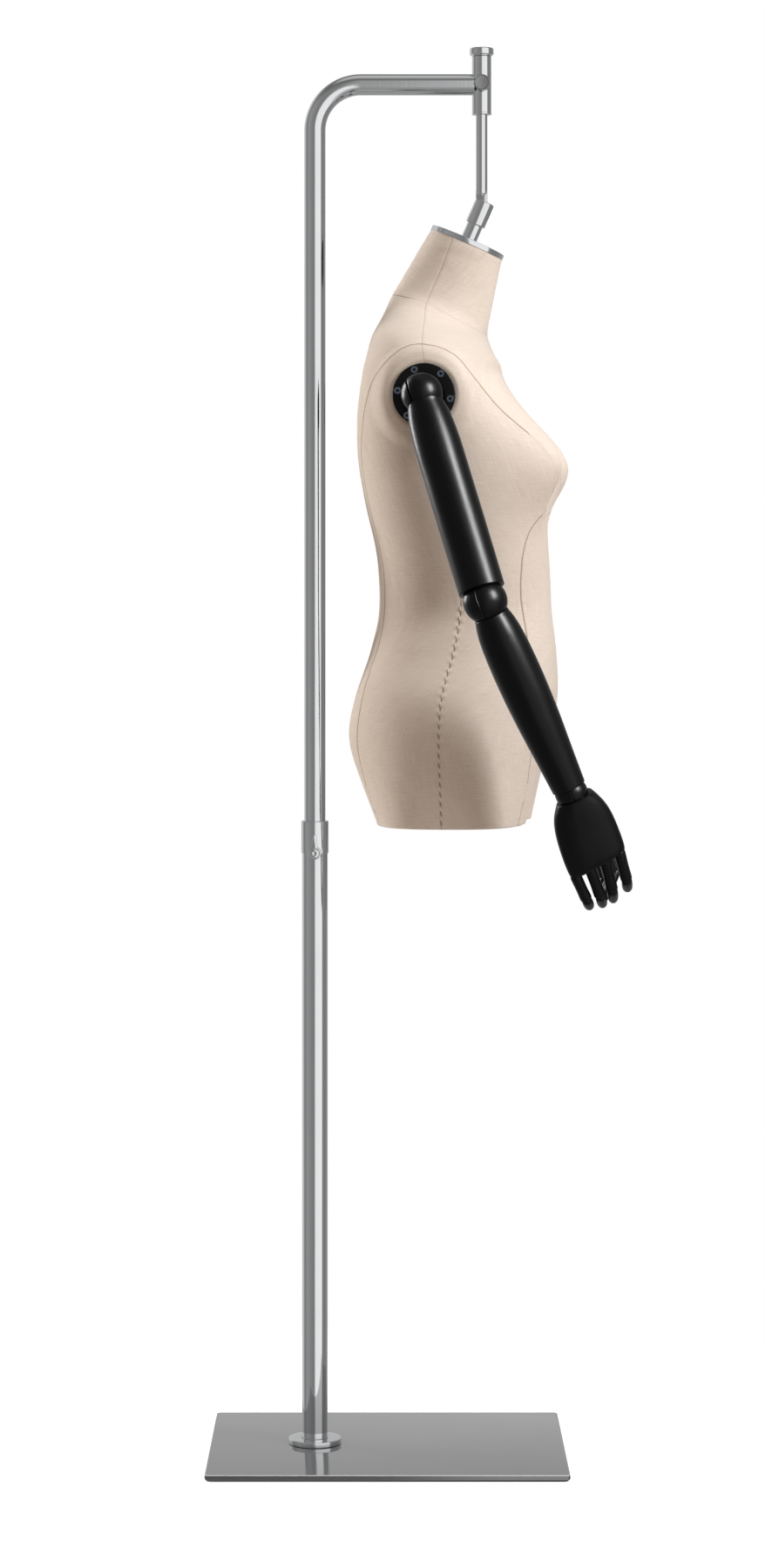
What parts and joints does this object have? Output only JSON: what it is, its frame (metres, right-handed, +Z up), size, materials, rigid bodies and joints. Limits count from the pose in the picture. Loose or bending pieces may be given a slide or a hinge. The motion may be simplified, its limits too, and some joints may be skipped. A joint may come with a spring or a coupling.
{
  "type": "dress form mannequin",
  "caption": "Fabric-covered dress form torso with jointed black wooden arms and hands, hung by its neck from a height-adjustable chromed stand on a rectangular base plate.",
  "frame": {"origin": "centre of the underside of the base pad, at floor level", "axes": "+X towards the front of the body, +Y to the body's left, +Z up"},
  "size_m": [0.4754, 0.5017, 1.588],
  "materials": {
    "pad": "thin non-slip sheet",
    "plate": "glossy grey coating on steel plate",
    "chrome": "bright plated steel",
    "steel": "plain turned steel",
    "nylon": "moulded nylon",
    "timber": "bare plywood",
    "shell": "moulded papier-mache style composite",
    "cover": "plain-woven linen, sewn in panels",
    "lacquer": "turned and carved beech, satin black lacquer"
  },
  "bodies": {
    "stand": {"base_pad": "pad", "base_plate": "plate", "post_bolt": "steel", "foot_flange": "chrome", "post_plug": "steel", "lower_tube": "chrome", "guide_bush": "nylon", "lock_collar": "chrome"},
    "lock": {"lock_lever": "chrome"},
    "mast": {"upper_tube": "chrome", "glide_plug": "nylon", "hanger_sleeve": "chrome"},
    "knob": {"hanger_knob": "chrome"},
    "cap": {"hanger_cap": "chrome"},
    "rod": {"hanger_rod": "chrome"},
    "torso": {"neck_fork": "chrome", "pivot_pin": "steel", "neck_cap": "chrome", "neck_block": "timber", "torso_shell": "shell", "torso_cover": "cover", "torso_board": "timber", "left_shoulder_ring": "lacquer", "right_shoulder_ring": "lacquer"},
    "right_shoulder": {"right_shoulder_ball": "lacquer", "right_shoulder_nut": "steel"},
    "right_upper_arm": {"right_upper_arm": "lacquer"},
    "right_elbow": {"right_elbow_ball": "lacquer"},
    "right_forearm": {"right_forearm": "lacquer"},
    "right_wrist": {"right_wrist_ball": "lacquer"},
    "right_hand": {"right_palm": "lacquer"},
    "right_little": {"right_little_finger": "lacquer"},
    "right_little_end": {"right_little_tip": "lacquer"},
    "right_ring": {"right_ring_finger": "lacquer"},
    "right_ring_end": {"right_ring_tip": "lacquer"},
    "right_middle": {"right_middle_finger": "lacquer"},
    "right_middle_end": {"right_middle_tip": "lacquer"},
    "right_index": {"right_index_finger": "lacquer"},
    "right_index_end": {"right_index_tip": "lacquer"},
    "right_thumb": {"right_thumb": "lacquer"},
    "right_thumb_end": {"right_thumb_tip": "lacquer"},
    "left_shoulder": {"left_shoulder_ball": "lacquer", "left_shoulder_nut": "steel"},
    "left_upper_arm": {"left_upper_arm": "lacquer"},
    "left_elbow": {"left_elbow_ball": "lacquer"},
    "left_forearm": {"left_forearm": "lacquer"},
    "left_wrist": {"left_wrist_ball": "lacquer"},
    "left_hand": {"left_palm": "lacquer"},
    "left_little": {"left_little_finger": "lacquer"},
    "left_little_end": {"left_little_tip": "lacquer"},
    "left_ring": {"left_ring_finger": "lacquer"},
    "left_ring_end": {"left_ring_tip": "lacquer"},
    "left_middle": {"left_middle_finger": "lacquer"},
    "left_middle_end": {"left_middle_tip": "lacquer"},
    "left_index": {"left_index_finger": "lacquer"},
    "left_index_end": {"left_index_tip": "lacquer"},
    "left_thumb": {"left_thumb": "lacquer"},
    "left_thumb_end": {"left_thumb_tip": "lacquer"}
  },
  "joints": [
    {"name": "lock_turn", "type": "hinge", "parent": "stand", "child": "lock", "pos_m": [-0.082, 0, 0.677], "axis": [0, -1, 0], "range_deg": [0, 180]},
    {"name": "mast_height", "type": "slide", "parent": "stand", "child": "mast", "axis": [0, 0, 1], "range_m": [-0.25, 0.2]},
    {"name": "knob_turn", "type": "hinge", "parent": "mast", "child": "knob", "pos_m": [0.107, 0, 1.5467], "axis": [0, -1, 0], "range_deg": [0, 360]},
    {"name": "hanger_lift", "type": "slide", "parent": "mast", "child": "cap", "axis": [0, 0, 1], "range_m": [0, 0.08]},
    {"name": "torso_swivel", "type": "hinge", "parent": "cap", "child": "rod", "pos_m": [0.107, 0, 1.405], "axis": [0, 0, 1], "range_deg": [-40, 45]},
    {"name": "neck_tilt", "type": "hinge", "parent": "rod", "child": "torso", "pos_m": [0.107, 0, 1.405], "axis": [-0.1045, -0.9945, 0], "range_deg": [-1, 45]},
    {"name": "right_shoulder_swing", "type": "hinge", "parent": "torso", "child": "right_shoulder", "pos_m": [0.03767, -0.17169, 1.187], "axis": [-0.1045, -0.9945, 0], "range_deg": [-10, 110]},
    {"name": "right_shoulder_lift", "type": "hinge", "parent": "right_shoulder", "child": "right_upper_arm", "pos_m": [0.03767, -0.17169, 1.187], "axis": [-0.9469, 0.0995, -0.3057], "range_deg": [-3, 63]},
    {"name": "right_elbow_twist", "type": "hinge", "parent": "right_upper_arm", "child": "right_elbow", "pos_m": [0.10441, -0.22932, 0.96153], "axis": [0.2756, -0.238, -0.9313], "range_deg": [-90, 90]},
    {"name": "right_elbow_bend", "type": "hinge", "parent": "right_elbow", "child": "right_forearm", "pos_m": [0.10441, -0.22932, 0.96153], "axis": [0.8753, -0.3383, 0.3455], "range_deg": [-20, 42]},
    {"name": "right_wrist_twist", "type": "hinge", "parent": "right_forearm", "child": "right_wrist", "pos_m": [0.19808, -0.19769, 0.75519], "axis": [0.4094, 0.1383, -0.9018], "range_deg": [-90, 90]},
    {"name": "right_wrist_bend", "type": "hinge", "parent": "right_wrist", "child": "right_hand", "pos_m": [0.19808, -0.19769, 0.75519], "axis": [0.9105, 0.0005, 0.4134], "range_deg": [-32, 32]},
    {"name": "right_little_knuckle", "type": "hinge", "parent": "right_hand", "child": "right_little", "pos_m": [0.20468, -0.17757, 0.66202], "axis": [0.9034, -0.0034, 0.4289], "range_deg": [-13, 27]},
    {"name": "right_little_middle", "type": "hinge", "parent": "right_little", "child": "right_little_end", "pos_m": [0.21707, -0.16357, 0.63604], "axis": [0.9034, -0.0034, 0.4289], "range_deg": [-40, 10]},
    {"name": "right_ring_knuckle", "type": "hinge", "parent": "right_hand", "child": "right_ring", "pos_m": [0.21996, -0.17793, 0.67071], "axis": [0.9304, 0.0122, 0.3664], "range_deg": [-13, 27]},
    {"name": "right_ring_middle", "type": "hinge", "parent": "right_ring", "child": "right_ring_end", "pos_m": [0.23197, -0.16175, 0.63968], "axis": [0.9304, 0.0122, 0.3664], "range_deg": [-40, 10]},
    {"name": "right_middle_knuckle", "type": "hinge", "parent": "right_hand", "child": "right_middle", "pos_m": [0.2361, -0.17831, 0.6799], "axis": [0.9623, 0.0356, 0.2695], "range_deg": [-13, 27]},
    {"name": "right_middle_middle", "type": "hinge", "parent": "right_middle", "child": "right_middle_end", "pos_m": [0.24499, -0.16135, 0.64592], "axis": [0.9623, 0.0356, 0.2695], "range_deg": [-40, 10]},
    {"name": "right_index_knuckle", "type": "hinge", "parent": "right_hand", "child": "right_index", "pos_m": [0.25155, -0.17867, 0.6887], "axis": [0.9577, 0.0317, 0.2859], "range_deg": [-13, 27]},
    {"name": "right_index_middle", "type": "hinge", "parent": "right_index", "child": "right_index_end", "pos_m": [0.26034, -0.163, 0.6575], "axis": [0.9577, 0.0317, 0.2859], "range_deg": [-40, 10]},
    {"name": "right_thumb_base", "type": "hinge", "parent": "right_hand", "child": "right_thumb", "pos_m": [0.22095, -0.16977, 0.74107], "axis": [0.9809, 0.0547, 0.1865], "range_deg": [-6, 20]},
    {"name": "right_thumb_middle", "type": "hinge", "parent": "right_thumb", "child": "right_thumb_end", "pos_m": [0.22527, -0.16118, 0.71584], "axis": [0.9809, 0.0547, 0.1865], "range_deg": [-8, 30]},
    {"name": "left_shoulder_swing", "type": "hinge", "parent": "torso", "child": "left_shoulder", "pos_m": [0.07488, 0.18236, 1.187], "axis": [-0.1045, -0.9945, 0], "range_deg": [-10, 110]},
    {"name": "left_shoulder_lift", "type": "hinge", "parent": "left_shoulder", "child": "left_upper_arm", "pos_m": [0.07488, 0.18236, 1.187], "axis": [0.9724, -0.1022, 0.2096], "range_deg": [-3, 63]},
    {"name": "left_elbow_twist", "type": "hinge", "parent": "left_upper_arm", "child": "left_elbow", "pos_m": [0.12939, 0.22516, 0.95503], "axis": [-0.2251, -0.1768, 0.9582], "range_deg": [-90, 90]},
    {"name": "left_elbow_bend", "type": "hinge", "parent": "left_elbow", "child": "left_forearm", "pos_m": [0.12939, 0.22516, 0.95503], "axis": [-0.8487, -0.4474, -0.282], "range_deg": [-15, 30]},
    {"name": "left_wrist_twist", "type": "hinge", "parent": "left_forearm", "child": "left_wrist", "pos_m": [0.21313, 0.19952, 0.74366], "axis": [-0.366, 0.112, 0.9238], "range_deg": [-90, 90]},
    {"name": "left_wrist_bend", "type": "hinge", "parent": "left_wrist", "child": "left_hand", "pos_m": [0.21313, 0.19952, 0.74366], "axis": [-0.2286, 0.9515, -0.206], "range_deg": [-24, 38]},
    {"name": "left_little_knuckle", "type": "hinge", "parent": "left_hand", "child": "left_little", "pos_m": [0.25073, 0.22448, 0.65943], "axis": [-0.2198, 0.9502, -0.221], "range_deg": [-13, 27]},
    {"name": "left_little_middle", "type": "hinge", "parent": "left_little", "child": "left_little_end", "pos_m": [0.26048, 0.21973, 0.62933], "axis": [-0.2198, 0.9502, -0.221], "range_deg": [-40, 10]},
    {"name": "left_ring_knuckle", "type": "hinge", "parent": "left_hand", "child": "left_ring", "pos_m": [0.25391, 0.20794, 0.66446], "axis": [-0.2545, 0.9537, -0.1605], "range_deg": [-13, 27]},
    {"name": "left_ring_middle", "type": "hinge", "parent": "left_ring", "child": "left_ring_end", "pos_m": [0.26458, 0.20485, 0.62916], "axis": [-0.2545, 0.9537, -0.1605], "range_deg": [-40, 10]},
    {"name": "left_middle_knuckle", "type": "hinge", "parent": "left_hand", "child": "left_middle", "pos_m": [0.25727, 0.19046, 0.66977], "axis": [-0.3042, 0.9502, -0.0685], "range_deg": [-13, 27]},
    {"name": "left_middle_middle", "type": "hinge", "parent": "left_middle", "child": "left_middle_end", "pos_m": [0.2674, 0.19098, 0.63211], "axis": [-0.3042, 0.9502, -0.0685], "range_deg": [-40, 10]},
    {"name": "left_index_knuckle", "type": "hinge", "parent": "left_hand", "child": "left_index", "pos_m": [0.26048, 0.17372, 0.67485], "axis": [-0.2961, 0.9515, -0.0839], "range_deg": [-13, 27]},
    {"name": "left_index_middle", "type": "hinge", "parent": "left_index", "child": "left_index_end", "pos_m": [0.27001, 0.17363, 0.64014], "axis": [-0.2961, 0.9515, -0.0839], "range_deg": [-40, 10]},
    {"name": "left_thumb_base", "type": "hinge", "parent": "left_hand", "child": "left_thumb", "pos_m": [0.21207, 0.17672, 0.71234], "axis": [-0.3431, 0.9393, 0.0089], "range_deg": [-6, 20]},
    {"name": "left_thumb_middle", "type": "hinge", "parent": "left_thumb", "child": "left_thumb_end", "pos_m": [0.22128, 0.18033, 0.68722], "axis": [-0.3431, 0.9393, 0.0089], "range_deg": [-8, 30]}
  ]
}
